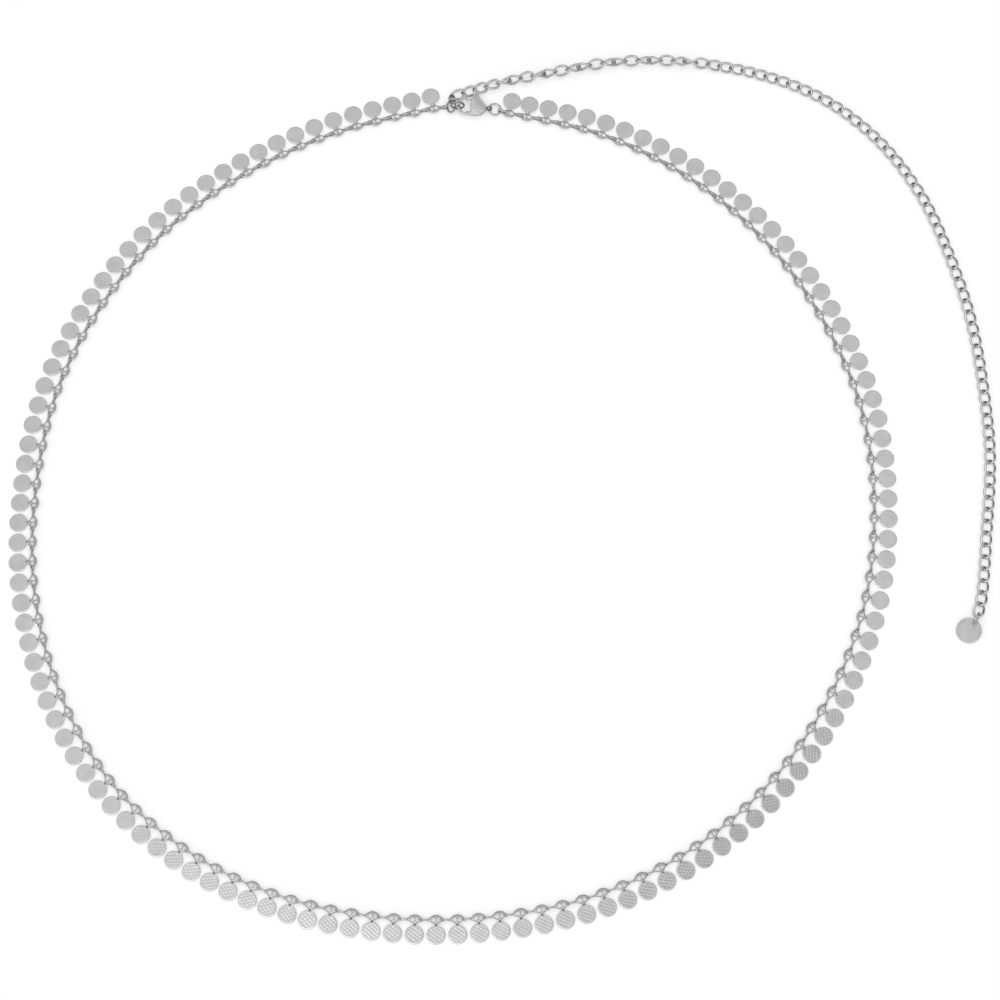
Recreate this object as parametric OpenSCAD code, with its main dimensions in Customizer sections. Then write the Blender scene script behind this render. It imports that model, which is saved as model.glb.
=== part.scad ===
// Waist chain: a closed loop of stamped disc links, a lobster clasp, and an extension of
// curb links that ends in a round tag. All sizes are in millimetres, and +Z is up.

/* [Disc links] */
// Number of disc links round the waist
link_count = 128; // [120:1:132]
// Diameter of the round disc on each link
disc_d = 5.1; // [4.5:0.1:5.2]
// Thickness of the disc
disc_t = 0.45; // [0.3:0.05:0.6]
// Distance from the line of eyes to the middle of the disc
disc_hang = 4; // [3.9:0.05:4.5]
// Width of the narrow neck between the disc and the eye plate
neck_w = 0.6; // [0.5:0.05:0.8]
// Width of the eye plate from tip to tip
plate_w = 4.2; // [4:0.05:4.4]
// Distance from the line of eyes to the inner edge of the eye plate
plate_drop = 1.4; // [1.2:0.05:1.6]
// Distance from the line of eyes to where the shoulders meet the neck
plate_rise = 1; // [0.95:0.05:1.3]
// Thickness of the eye plate
plate_t = 0.4; // [0.3:0.05:0.5]
// Diameter of the two eyes
eye_d = 1; // [0.96:0.02:1.04]
// Distance between the two eyes
eye_gap = 1.34; // [1.28:0.02:1.4]
// Width of the folded strap that joins one link to the next
strap_w = 0.6; // [0.45:0.05:0.65]
// Thickness of the folded strap
strap_t = 0.35; // [0.25:0.05:0.4]
// Height of the folded strap
strap_h = 1.6; // [1.5:0.05:2]

/* [Extension chain] */
// Length of chain that each curb link takes up
curb_pitch = 3.45; // [3.4:0.01:3.5]
// Thickness of the curb wire
curb_wire = 0.57; // [0.45:0.01:0.6]
// Outer width of a curb link
curb_w = 3.4; // [3.2:0.05:3.6]
// Outer length of a curb link
curb_l = 4.9; // [4.85:0.05:5]
// How far the sides of a curb link are twisted out of its plane
curb_twist = 0.42; // [0.38:0.01:0.5]

/* [Clasp] */
// Length of the hook's opening across the clasp
hook_open = 4.1; // [3.8:0.1:4.4]
// Width of the hook's opening along the clasp
hook_open_w = 2.7; // [2.6:0.05:2.9]
// Width of the hook's wall
hook_wall = 1; // [0.8:0.05:1.1]
// Thickness of the hook
hook_t = 0.9; // [0.7:0.05:1]
// Thickness of the clasp body
body_t = 2.2; // [2:0.1:2.6]
// Thickness of the lever
lever_t = 0.75; // [0.6:0.05:0.9]
// Diameter of the pin that the lever turns on
pin_d = 0.7; // [0.6:0.05:0.8]

/* [End tag] */
// Diameter of the end tag
tag_d = 7; // [6.5:0.1:7.5]
// Thickness of the end tag
tag_t = 0.5; // [0.4:0.05:0.8]
// Diameter of the tag's hole
tag_hole_d = 1.3; // [1.2:0.05:1.4]

/* [Rings] */
// Thickness of the wire of the small rings
ring_wire = 0.5; // [0.4:0.02:0.52]
// Mean diameter of the clasp ring
clasp_ring_d = 3.4; // [3.3:0.05:3.5]

/* [Hidden] */
$fn = 48;

// Least clearance between two pieces that move on each other
gap = 0.12;

// Line of eyes round the waist, clockwise from the right of the clasp
waist_route = [
    [16, 117.6], [43.5, 110.7], [68.6, 97.1], [90, 77.5], [105.7, 53.5], [115.6, 27], [118, -2],
    [114, -30], [102.8, -56.6], [85.8, -79.7], [63.6, -97.7], [37.5, -109.7], [9, -115.1],
    [-19.5, -114.9], [-47.6, -108.8], [-73, -96], [-94.1, -76.6], [-108.5, -51.5], [-116, -23.5],
    [-116.6, 5], [-111.7, 33.5], [-99.8, 59.4], [-82, 82], [-59, 99.5], [-33.4, 111.8], [-5.8, 119.05]
];
// The links don't hang quite evenly: a link is this much further along than its number says
link_slip = [
    [0, -0.3], [8, -0.9], [25, -1.4], [34, -1.2], [48, 0.6], [68, 1.5], [84, -0.6], [99, -1.7],
    [110, -1.6], [127, 0]
];
// Middle line of the extension, from its first curb link to its last
extension_route = [
    [1.15, 123.3], [10.6, 126.1], [27, 129.6], [47, 133.2], [67.5, 133.3], [88.1, 129.9], [107, 122.1],
    [122.7, 109.2], [134.4, 92.4], [141.9, 74], [147.3, 54.5], [150, 34], [151, 13.5], [148.9, -10],
    [147.3, -24.5]
];

// Middle of each small piece by the clasp and at the far end, in plan
clasp_at = [3.3, 119.75];
clasp_ring_at = [11.9, 118.7];
hook_ring_at = [1.1, 119.4];
end_ring_at = [-0.75, 119.55];
extension_ring_at = [-0.5, 121.7];
tag_at = [143, -35.9];

// Half a curb link, to the middle of its wire
curb_half_l = (curb_l - curb_wire) / 2;
curb_half_w = (curb_w - curb_wire) / 2;

// The tag's hole lies in this direction from its middle. The tag leans on the ring through its hole.
tag_turn = 50;
tag_lean = 8.5;
tag_rim = 0.4;
tag_reach = tag_d / 2 - tag_rim - tag_hole_d / 2;
tag_ring_d = 3.4;
tag_ring_tip = 79;
tag_ring_yaw = 11;
// The ring's middle from the tag's, along and across the tag's direction
tag_ring_off = [tag_reach + 1.34, 0.4];
// The last curb link ends in that ring, this far from its middle, and leads away at this angle
last_curb_in = 0.55;
last_curb_yaw = 22;
last_curb_rise = 0.3;
function from_tag(v) =
    tag_at + [v[0] * cos(tag_turn) - v[1] * sin(tag_turn), v[0] * sin(tag_turn) + v[1] * cos(tag_turn)];
last_curb_at =
    from_tag(tag_ring_off + (curb_half_l + last_curb_in) * [cos(last_curb_yaw), sin(last_curb_yaw)]);

// Point of a smooth curve between b and c, where t runs from 0 to 1
function curve_point(a, b, c, d, t) =
    ((2 * b) + (c - a) * t + (2 * a - 5 * b + 4 * c - d) * t^2 + (3 * b - a - 3 * c + d) * t^3) / 2;
// Smooth curve through a list of points, with n steps between neighbours
function smooth(pts, n = 12) =
    let (last = len(pts) - 1)
    concat(
        [for (i = [0:last - 1], j = [0:n - 1])
            curve_point(pts[max(i - 1, 0)], pts[i], pts[i + 1], pts[min(i + 2, last)], j / n)],
        [pts[last]]
    );
// Distance along a curve at each of its points
function distances(c) =
    [for (i = 0, s = 0; i < len(c); s = s + (i + 1 < len(c) ? norm(c[i + 1] - c[i]) : 0), i = i + 1) s];
// Table of distance and one coordinate, for lookup()
function column(c, s, k) = [for (i = [0:len(c) - 1]) [s[i], c[i][k]]];
// Heading from one point to another, in degrees
function heading(a, b) = atan2(b[1] - a[1], b[0] - a[0]);

waist_curve = smooth(waist_route);
waist_s = distances(waist_curve);
waist_x = column(waist_curve, waist_s, 0);
waist_y = column(waist_curve, waist_s, 1);
waist_length = waist_s[len(waist_s) - 1];
link_pitch = waist_length / (link_count - 1);
function waist_at(s) = [lookup(s, waist_x), lookup(s, waist_y)];
function link_s(i) = i * link_pitch + lookup(i * 127 / (link_count - 1), link_slip);
function link_at(i) = waist_at(link_s(i));
function link_heading(i) =
    heading(waist_at(link_s(i) - link_pitch / 2), waist_at(link_s(i) + link_pitch / 2));
// Where the strap of a link leads to: the middle of the next link, or the end ring
function strap_goal(i) = i < link_count - 1 ? link_at(i + 1) : end_ring_at;
function strap_heading(i) = heading(link_at(i), strap_goal(i));

extension_curve = smooth(concat(extension_route, [last_curb_at]));
extension_s = distances(extension_curve);
extension_x = column(extension_curve, extension_s, 0);
extension_y = column(extension_curve, extension_s, 1);
extension_length = extension_s[len(extension_s) - 1];
curb_steps = round(extension_length / curb_pitch);
curb_step = extension_length / curb_steps;
function extension_at(s) = [lookup(s, extension_x), lookup(s, extension_y)];
function curb_at(i) = extension_at(i * curb_step);
function curb_heading(i) = heading(extension_at((i - 0.5) * curb_step), extension_at((i + 0.5) * curb_step));

// Near its start the chain is twisted through three turns: number of the link, and how far it is rolled
curb_twists = [
    [2, 0], [3, -15], [4, -50], [5, -115], [7, -235], [9, -337], [18, -877], [20, -977], [21, -1040],
    [22, -1080]
];
function curb_roll(i) = lookup(i, curb_twists);
// Height of a curb link's middle, which rises by a ramp to the twisted run and falls after it:
// number of the link, and its share of the rise
function curb_reach(roll) = curb_wire / 2 + max([for (a = [0:15:345])
    abs(curb_half_w * sin(a) * sin(roll) + curb_twist * sin(2 * a) * cos(roll))]);
curb_rises = [
    [1, 0], [2, 0.1], [3, 0.55], [4, 1], [20, 1], [21, 0.76], [22, 0.38], [23, 0.08], [24, 0]
];
function curb_ramp(i) = lookup(i, curb_rises);
function curb_lift(i) = curb_reach(0) + curb_ramp(i) * (curb_reach(90) - curb_reach(0))
    + last_curb_rise * max(0, i - curb_steps + 2) / 2;
function curb_slope(i) = atan((curb_lift(i + 1) - curb_lift(i - 1)) / (2 * curb_step));

// A link rests on the outer edge of its disc and on the foot of its strap
strap_lift = strap_h / 2;
link_lean = atan((strap_h - disc_t) / 2 / (disc_hang + disc_d / 2 - strap_w / 2));
link_z = strap_lift * cos(link_lean) + strap_w / 2 * sin(link_lean);
// Inner edge of the eye plate, an arc through both tips
plate_r = (pow(plate_w / 2, 2) + pow(plate_drop, 2)) / (2 * plate_drop);
// The strap starts in the plate's right tip and ends in the next link's left eye or round the end ring
strap_from = plate_w / 2 - strap_t / 2;
strap_short = eye_gap / 2 - strap_t / 2;
last_strap_short = 0.316;
function strap_to(i) =
    norm(strap_goal(i) - link_at(i)) - (i < link_count - 1 ? strap_short : last_strap_short);
// Height of a wire that lies inside the end of a strap
wire_z = strap_t + gap + ring_wire / 2;

// The whole part is placed so that the middle of its outline is the origin
disc_points = [for (i = [0:link_count - 1])
    link_at(i) + disc_hang * cos(link_lean) * [-sin(link_heading(i)), cos(link_heading(i))]];
curb_points = [for (i = [0:curb_steps]) curb_at(i)];
x_low = min([for (p = disc_points) p[0]]) - disc_d / 2;
y_low = min([for (p = disc_points) p[1]]) - disc_d / 2;
x_high = max([for (p = curb_points) p[0]]) + curb_w / 2;
y_high = max([for (p = curb_points) p[1]]) + curb_w / 2;
to_origin = -[x_low + x_high, y_low + y_high] / 2;

// Flat bar with round ends, lying along X with its middle at the origin
module bar_outline(length, width) {
    square([length - width, width], center = true);
    for (side = [-1, 1]) translate([side * (length - width) / 2, 0]) circle(d = width);
}

// Closed strap that stands on edge, from x = a to x = b
module strap(a, b) {
    translate([(a + b) / 2, 0, 0]) rotate([90, 0, 0]) linear_extrude(height = strap_w, center = true)
        difference() {
            bar_outline(b - a, strap_h);
            bar_outline(b - a - 2 * strap_t, strap_h - 2 * strap_t);
        }
}

// Eye plate and neck, with the line of eyes on the X axis
module plate_outline() {
    difference() {
        union() {
            intersection() {
                polygon([
                    [-neck_w / 2, plate_rise], [neck_w / 2, plate_rise], [plate_w / 2, 0],
                    [plate_w / 2, -plate_drop], [-plate_w / 2, -plate_drop], [-plate_w / 2, 0]
                ]);
                translate([0, plate_r - plate_drop]) circle(r = plate_r, $fn = 96);
            }
            neck_from = plate_rise / 2;
            translate([-neck_w / 2, neck_from]) square([neck_w, disc_hang - disc_d / 4 - neck_from]);
        }
        for (side = [-1, 1]) translate([side * eye_gap / 2, 0]) circle(d = eye_d);
    }
}

// One stamped link: disc, neck, eye plate and folded strap, with +X along the chain and +Y outwards
module disc_link(strap_turn, strap_end) {
    rotate([-link_lean, 0, 0]) {
        linear_extrude(height = plate_t, center = true) plate_outline();
        translate([0, disc_hang, 0]) cylinder(d = disc_d, h = disc_t, center = true);
        rotate([0, 0, strap_turn]) strap(strap_from, strap_end);
    }
}

module disc_links(first, last) {
    for (i = [first:last]) translate(concat(link_at(i) + to_origin, link_z)) rotate([0, 0, link_heading(i)])
        disc_link(strap_heading(i) - link_heading(i), strap_to(i));
}

// Round wire ring that lies flat
module wire_ring(mean_d, wire) {
    rotate_extrude() translate([mean_d / 2, 0]) circle(d = wire, $fn = 24);
}

// Closed wire: half_l by half_w to the middle of the wire, with its sides twisted up and down
function wire_point(half_l, half_w, twist, a) = [half_l * cos(a), half_w * sin(a), twist * sin(2 * a)];
function unit(v) = v / norm(v);
module twisted_wire(half_l, half_w, twist, wire, steps = 12, sides = 6) {
    points = [for (i = [0:steps - 1])
        let (
            a = i * 360 / steps,
            middle = wire_point(half_l, half_w, twist, a),
            along = unit(wire_point(half_l, half_w, twist, a + 5) - wire_point(half_l, half_w, twist, a - 5)),
            across = unit(cross(along, [0, 0, 1])),
            up = cross(across, along)
        )
        for (j = [0:sides - 1])
            middle + wire / 2 * (cos(j * 360 / sides) * across + sin(j * 360 / sides) * up)
    ];
    faces = [for (i = [0:steps - 1], j = [0:sides - 1])
        let (
            p = i * sides + j,
            q = i * sides + (j + 1) % sides,
            r = (i + 1) % steps * sides + (j + 1) % sides,
            s = (i + 1) % steps * sides + j
        )
        each [[p, q, r], [p, r, s]]
    ];
    polyhedron(points, faces);
}

module disc_chain_right() { color([0.78, 0.78, 0.79]) disc_links(0, floor(link_count / 2) - 1); }
module disc_chain_left() { color([0.74, 0.74, 0.75]) disc_links(floor(link_count / 2), link_count - 1); }

// Strap between the clasp ring and the first link's left eye
first_eye = link_at(0) - eye_gap / 2 * [cos(link_heading(0)), sin(link_heading(0))];
first_reach = norm(first_eye - clasp_ring_at);
module start_strap() {
    color([0.7, 0.7, 0.71]) translate(concat(clasp_ring_at + to_origin, link_z))
        rotate([0, 0, heading(clasp_ring_at, first_eye)])
            strap(clasp_ring_d / 2 - ring_wire / 2 - 2 * gap - strap_t, first_reach + strap_t / 2);
}

// Clasp frame: the middle of the hook's opening is the origin, and +X runs to the swivel eye.
// The clasp lies on its lower edge, tipped so that the lever's fin is above the extension.
clasp_turn = -4;
clasp_tip = 8;
outer_w = hook_open_w + 2 * hook_wall;
hook_rim = 0.75;
// The hook is cut away from here on, so that a ring can go in past the lever
mouth_x = 0.35;
mouth_h = 1.6;
clasp_z = body_t / 2 * cos(clasp_tip) + (hook_open / 2 + hook_rim) * sin(clasp_tip);
swivel_at = [6.95, -0.5, -0.26];
swivel_hole_d = 1.06;
swivel_d = 1.9;
swivel_t = 1;
pivot = [4.6, -0.5];
lever_gap = 0.15;
// The slot for the lever leaves the body's lower wall, and runs out of it everywhere else
slot_foot = -1.9;
slot_size = [6.7, 6, lever_t + 2 * lever_gap];
arm_w = 0.55;
arm_y = hook_open / 2 - lever_gap - arm_w;
body_left = hook_open_w / 2 + 0.2;
module clasp_frame() {
    translate(concat(clasp_at + to_origin, clasp_z)) rotate([0, 0, clasp_turn]) rotate([clasp_tip, 0, 0])
        children();
}
module hook_outline() {
    difference() {
        rotate([0, 0, 90]) bar_outline(hook_open + 2 * hook_rim, outer_w);
        rotate([0, 0, 90]) bar_outline(hook_open, hook_open_w);
        translate([mouth_x, hook_open / 2 - mouth_h]) square([outer_w, mouth_h + 2 * hook_rim]);
    }
}
module body_outline() {
    polygon([
        [body_left, -hook_open / 2 - hook_rim], [4.3, -hook_open / 2 - hook_rim], [5.9, -1.5], [6.1, -1],
        [6.1, 0.2], [5.4, 0.9], [3.7, 2.9], [2.5, 2.9], [body_left, 1.3]
    ]);
}
module clasp_body() {
    color([0.76, 0.76, 0.77]) clasp_frame() {
        difference() {
            union() {
                linear_extrude(height = hook_t, center = true) hook_outline();
                linear_extrude(height = body_t, center = true) body_outline();
            }
            translate([hook_open_w / 2, slot_foot, -slot_size[2] / 2]) cube(slot_size);
        }
        translate(concat(pivot, 0)) cylinder(d = pin_d, h = body_t - 0.2, center = true, $fn = 32);
        translate(swivel_at) rotate([90, 0, 0]) difference() {
            union() {
                cylinder(d = swivel_d, h = swivel_t, center = true);
                translate([-1.4, -0.3, -swivel_t / 2]) cube([0.8, 1, swivel_t]);
            }
            cylinder(d = swivel_hole_d, h = 2 * swivel_t, center = true);
        }
    }
}
module lever_outline() {
    difference() {
        polygon([
            [0, arm_y], [1.9, arm_y], [2.3, -1], [4.2, -1.4], [5.2, -1], [5.2, 0.7], [3.9, 2.6], [3.1, 5.2],
            [2.75, 5.6], [2.4, 5.4], [2, arm_y + arm_w], [0, arm_y + arm_w]
        ]);
        translate(pivot) circle(d = pin_d + 2 * lever_gap, $fn = 32);
    }
}
module clasp_lever() {
    color([0.8, 0.8, 0.81]) clasp_frame() linear_extrude(height = lever_t, center = true) lever_outline();
}

// Ring between the clasp's swivel eye and the start strap, a little higher at the clasp
clasp_ring_tip = 7.5;
module clasp_ring() {
    color([0.72, 0.72, 0.73])
        translate(concat(clasp_ring_at + to_origin, wire_z + clasp_ring_d / 2 * sin(clasp_ring_tip)))
            rotate([0, clasp_ring_tip, 0]) wire_ring(clasp_ring_d, ring_wire);
}

// Ring that the clasp hooks into. It leans back on the hook.
hook_ring_d = 3.7;
hook_ring_tip = 82;
hook_ring_z = (hook_ring_d * sin(hook_ring_tip) + ring_wire) / 2 + 0.08;
module hook_ring() {
    color([0.7, 0.7, 0.71]) translate(concat(hook_ring_at + to_origin, hook_ring_z))
        rotate([hook_ring_tip, 0, 0]) wire_ring(hook_ring_d, ring_wire);
}

// Oval ring at the end of the last link, which holds the hook ring and the extension
end_ring_l = 3.5;
end_ring_w = 2.46;
end_ring_tip = -15;
end_ring_z = 1.15;
module end_ring() {
    color([0.7, 0.7, 0.71]) translate(concat(end_ring_at + to_origin, end_ring_z))
        rotate([0, end_ring_tip, 0]) rotate([0, 0, 90])
            twisted_wire(end_ring_l / 2, end_ring_w / 2, 0, ring_wire, 16, 8);
}

// First ring of the extension
extension_ring_d = 2.3;
extension_ring_tip = 48.5;
extension_ring_turn = 77;
extension_ring_z = 1.19;
module extension_ring() {
    color([0.75, 0.75, 0.76]) translate(concat(extension_ring_at + to_origin, extension_ring_z))
        rotate([extension_ring_tip, 0, extension_ring_turn]) wire_ring(extension_ring_d, ring_wire);
}

module extension_chain() {
    color([0.75, 0.75, 0.76]) for (i = [0:curb_steps])
        translate(concat(curb_at(i) + to_origin, curb_lift(i)))
            rotate([curb_roll(i), -curb_slope(i), curb_heading(i)])
                twisted_wire(curb_half_l, curb_half_w, curb_twist, curb_wire);
}

// The tag rests on the surface with the edge that is far from its hole
module end_tag() {
    color([0.8, 0.8, 0.81])
        translate(concat(tag_at + to_origin, tag_d / 2 * sin(tag_lean) + tag_t / 2 * cos(tag_lean)))
            rotate([0, 0, tag_turn]) rotate([0, -tag_lean, 0]) difference() {
                cylinder(d = tag_d, h = tag_t, center = true, $fn = 96);
                translate([tag_reach, 0, 0]) cylinder(d = tag_hole_d, h = 2 * tag_t, center = true);
            }
}

// Ring between the tag and the last curb link, standing on edge
tag_ring_z = (tag_ring_d * sin(tag_ring_tip) + ring_wire) / 2;
module tag_ring() {
    color([0.72, 0.72, 0.73]) translate(concat(from_tag(tag_ring_off) + to_origin, tag_ring_z))
        rotate([tag_ring_tip, 0, tag_turn + tag_ring_yaw]) wire_ring(tag_ring_d, ring_wire);
}

disc_chain_right();
disc_chain_left();
start_strap();
clasp_ring();
clasp_body();
clasp_lever();
hook_ring();
end_ring();
extension_ring();
extension_chain();
tag_ring();
end_tag();
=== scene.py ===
"""Waist chain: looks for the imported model. The pieces' lengths are in millimetres and become metres in each mesh.
The camera, the floor and the lamp are placed in metres."""

import math
import random

import bmesh
import bpy
import numpy as np
from mathutils import Matrix, Vector
from mathutils.geometry import delaunay_2d_cdt


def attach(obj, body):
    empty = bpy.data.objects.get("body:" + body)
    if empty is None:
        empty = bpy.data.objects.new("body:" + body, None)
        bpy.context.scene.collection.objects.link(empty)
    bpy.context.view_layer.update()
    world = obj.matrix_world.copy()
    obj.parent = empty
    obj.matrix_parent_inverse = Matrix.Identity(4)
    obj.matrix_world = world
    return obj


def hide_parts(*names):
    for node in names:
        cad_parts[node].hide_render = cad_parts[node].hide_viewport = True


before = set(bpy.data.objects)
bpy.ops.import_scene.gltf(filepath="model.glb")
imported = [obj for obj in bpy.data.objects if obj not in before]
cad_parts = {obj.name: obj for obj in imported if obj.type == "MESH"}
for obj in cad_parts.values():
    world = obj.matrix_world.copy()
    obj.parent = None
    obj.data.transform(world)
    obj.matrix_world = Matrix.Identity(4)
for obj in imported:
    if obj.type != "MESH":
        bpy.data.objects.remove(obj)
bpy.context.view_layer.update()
MM = 0.001
rng = random.Random(7)

# ---- Camera, at the photograph's angle ----
CAMERA_TILT, CAMERA_LENS = 15.04, 105.4
CAMERA_AT = (-0.00115, -0.2176, 0.7915)
camera_data = bpy.data.cameras.new("camera")
camera_data.sensor_width = 36.0
camera_data.lens = CAMERA_LENS
camera_data.clip_start = 0.01
camera_data.clip_end = 50.0
camera = bpy.data.objects.new("camera", camera_data)
camera.location = CAMERA_AT
camera.rotation_euler = (math.radians(CAMERA_TILT), 0.0, 0.0)
bpy.context.scene.collection.objects.link(camera)
bpy.context.scene.camera = camera

# ---- Sizes and routes, as in part.scad ----
LINK_COUNT = 128
DISC_D, DISC_T, DISC_HANG = 5.1, 0.45, 4.0
NECK_W, PLATE_W, PLATE_DROP, PLATE_RISE, PLATE_T = 0.6, 4.2, 1.4, 1.0, 0.4
EYE_GAP = 1.34
STRAP_W, STRAP_T, STRAP_H = 0.6, 0.35, 1.6
# How far short of the end ring's middle the last strap ends
LAST_STRAP_SHORT = 0.316
CURB_PITCH, CURB_WIRE, CURB_W, CURB_L, CURB_TWIST = 3.45, 0.57, 3.4, 4.9, 0.42
HOOK_OPEN, HOOK_OPEN_W, HOOK_WALL, HOOK_T, HOOK_RIM = 4.1, 2.7, 1.0, 0.9, 0.75
BODY_T, LEVER_T, PIN_D, LEVER_GAP = 2.2, 0.75, 0.7, 0.15
TAG_D, TAG_T, TAG_HOLE_D = 7.0, 0.5, 1.3
RING_WIRE, CLASP_RING_D, GAP = 0.5, 3.4, 0.12

WAIST_ROUTE = [
    (16, 117.6), (43.5, 110.7), (68.6, 97.1), (90, 77.5), (105.7, 53.5), (115.6, 27), (118, -2),
    (114, -30), (102.8, -56.6), (85.8, -79.7), (63.6, -97.7), (37.5, -109.7), (9, -115.1),
    (-19.5, -114.9), (-47.6, -108.8), (-73, -96), (-94.1, -76.6), (-108.5, -51.5), (-116, -23.5),
    (-116.6, 5), (-111.7, 33.5), (-99.8, 59.4), (-82, 82), (-59, 99.5), (-33.4, 111.8), (-5.8, 119.05),
]
# Number of a link, and how much further along it is than its number says
LINK_SLIP = [
    (0, -0.3), (8, -0.9), (25, -1.4), (34, -1.2), (48, 0.6), (68, 1.5), (84, -0.6), (99, -1.7),
    (110, -1.6), (127, 0),
]
EXTENSION_ROUTE = [
    (1.15, 123.3), (10.6, 126.1), (27, 129.6), (47, 133.2), (67.5, 133.3), (88.1, 129.9), (107, 122.1),
    (122.7, 109.2), (134.4, 92.4), (141.9, 74), (147.3, 54.5), (150, 34), (151, 13.5), (148.9, -10),
    (147.3, -24.5),
]
CLASP_AT, CLASP_TURN, CLASP_TIP = (3.3, 119.75), -4.0, 8.0
CLASP_RING_AT, CLASP_RING_TIP = (11.9, 118.7), 7.5
HOOK_RING_AT, HOOK_RING_D, HOOK_RING_TIP = (1.1, 119.4), 3.7, 82.0
END_RING_AT, END_RING_Z, END_RING_TIP = (-0.75, 119.55), 1.15, -15.0
END_RING_L, END_RING_W = 3.5, 2.46
EXTENSION_RING_AT, EXTENSION_RING_Z = (-0.5, 121.7), 1.19
EXTENSION_RING_D, EXTENSION_RING_TIP, EXTENSION_RING_TURN = 2.3, 48.5, 77.0
TAG_AT, TAG_TURN, TAG_LEAN, TAG_RIM = (143.0, -35.9), 50.0, 8.5, 0.4
TAG_RING_D, TAG_RING_TIP, TAG_RING_YAW, TAG_RING_OUT = 3.4, 79.0, 11.0, (1.34, 0.4)
# Where the last curb link lies. The chain rises towards it, by LAST_CURB_RISE over LAST_CURB_STEPS steps
LAST_CURB_IN, LAST_CURB_YAW, LAST_CURB_RISE, LAST_CURB_STEPS = 0.55, 22.0, 0.3, 2
# Number of a curb link, and how far it is rolled, in degrees; then its share of the rise to the twisted run
CURB_TWISTS = [
    (2, 0), (3, -15), (4, -50), (5, -115), (7, -235), (9, -337), (18, -877), (20, -977), (21, -1040),
    (22, -1080),
]
CURB_RISES = [(1, 0), (2, 0.1), (3, 0.55), (4, 1), (20, 1), (21, 0.76), (22, 0.38), (23, 0.08), (24, 0)]


def cosd(a):
    return math.cos(math.radians(a))


def sind(a):
    return math.sin(math.radians(a))


def curve_point(a, b, c, d, t):
    """Point between b and c of a smooth curve through all four, with t from 0 to 1."""
    return tuple(
        (2 * q + (r - p) * t + (2 * p - 5 * q + 4 * r - s) * t**2 + (3 * q - p - 3 * r + s) * t**3) / 2
        for p, q, r, s in zip(a, b, c, d)
    )


class Route:
    """Smooth curve through points, read by the distance along it."""

    def __init__(self, points, steps=12):
        last = len(points) - 1
        curve = [
            curve_point(points[max(i - 1, 0)], points[i], points[i + 1], points[min(i + 2, last)], j / steps)
            for i in range(last) for j in range(steps)
        ] + [points[last]]
        self.xy = np.array(curve, float)
        self.s = np.r_[0.0, np.cumsum(np.linalg.norm(np.diff(self.xy, axis=0), axis=1))]
        self.length = float(self.s[-1])

    def at(self, s):
        """Point at a distance along the curve."""
        return np.array([np.interp(s, self.s, self.xy[:, 0]), np.interp(s, self.s, self.xy[:, 1])])

    def heading(self, s, step):
        """Direction of the curve over a step that is centred on s."""
        return heading(self.at(s - step / 2), self.at(s + step / 2))


def heading(a, b):
    """Direction from a to b, in degrees."""
    return math.degrees(math.atan2(b[1] - a[1], b[0] - a[0]))


def lookup(x, table):
    """Value of a table of pairs at x, in straight lines between its rows."""
    return float(np.interp(x, [row[0] for row in table], [row[1] for row in table]))


waist = Route(WAIST_ROUTE)
link_pitch = waist.length / (LINK_COUNT - 1)

curb_half_l, curb_half_w = (CURB_L - CURB_WIRE) / 2, (CURB_W - CURB_WIRE) / 2
tag_reach = TAG_D / 2 - TAG_RIM - TAG_HOLE_D / 2
tag_ring_off = (tag_reach + TAG_RING_OUT[0], TAG_RING_OUT[1])


def from_tag(v):
    """Point of the routes' frame that is at v in the tag's own frame."""
    c, s = cosd(TAG_TURN), sind(TAG_TURN)
    return (TAG_AT[0] + v[0] * c - v[1] * s, TAG_AT[1] + v[0] * s + v[1] * c)


last_curb_out = curb_half_l + LAST_CURB_IN
last_curb_at = from_tag((
    tag_ring_off[0] + last_curb_out * cosd(LAST_CURB_YAW), tag_ring_off[1] + last_curb_out * sind(LAST_CURB_YAW)
))
extension = Route(EXTENSION_ROUTE + [last_curb_at])
curb_steps = round(extension.length / CURB_PITCH)
curb_step = extension.length / curb_steps

link_lean = math.degrees(math.atan((STRAP_H - DISC_T) / 2 / (DISC_HANG + DISC_D / 2 - STRAP_W / 2)))
link_z = STRAP_H / 2 * cosd(link_lean) + STRAP_W / 2 * sind(link_lean)


def link_s(i):
    """How far along the waist route a link's middle is."""
    return i * link_pitch + lookup(i * LINK_SLIP[-1][0] / (LINK_COUNT - 1), LINK_SLIP)


def link_at(i):
    return waist.at(link_s(i))


def link_heading(i):
    return waist.heading(link_s(i), link_pitch)


def strap_goal(i):
    """Where the strap of a link leads to: the middle of the next link, or the end ring."""
    return link_at(i + 1) if i < LINK_COUNT - 1 else np.array(END_RING_AT)


def strap_to(i):
    """How far from its own link's middle a strap ends."""
    short = EYE_GAP / 2 - STRAP_T / 2 if i < LINK_COUNT - 1 else LAST_STRAP_SHORT
    return float(np.linalg.norm(strap_goal(i) - link_at(i))) - short


disc_xy = np.array([
    link_at(i) + DISC_HANG * cosd(link_lean) * np.array([-sind(link_heading(i)), cosd(link_heading(i))])
    for i in range(LINK_COUNT)
])
curb_xy = np.array([extension.at(i * curb_step) for i in range(curb_steps + 1)])
# The origin is halfway from the discs' left and lower edges to the curb chain's right and upper edges
to_origin = -np.array([
    disc_xy[:, 0].min() - DISC_D / 2 + curb_xy[:, 0].max() + CURB_W / 2,
    disc_xy[:, 1].min() - DISC_D / 2 + curb_xy[:, 1].max() + CURB_W / 2,
]) / 2


def curb_reach(roll):
    """Half the height of a curb link that is rolled so far about its length."""
    return CURB_WIRE / 2 + max(
        abs(curb_half_w * sind(a) * sind(roll) + CURB_TWIST * sind(2 * a) * cosd(roll)) for a in range(0, 360, 15)
    )


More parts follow.
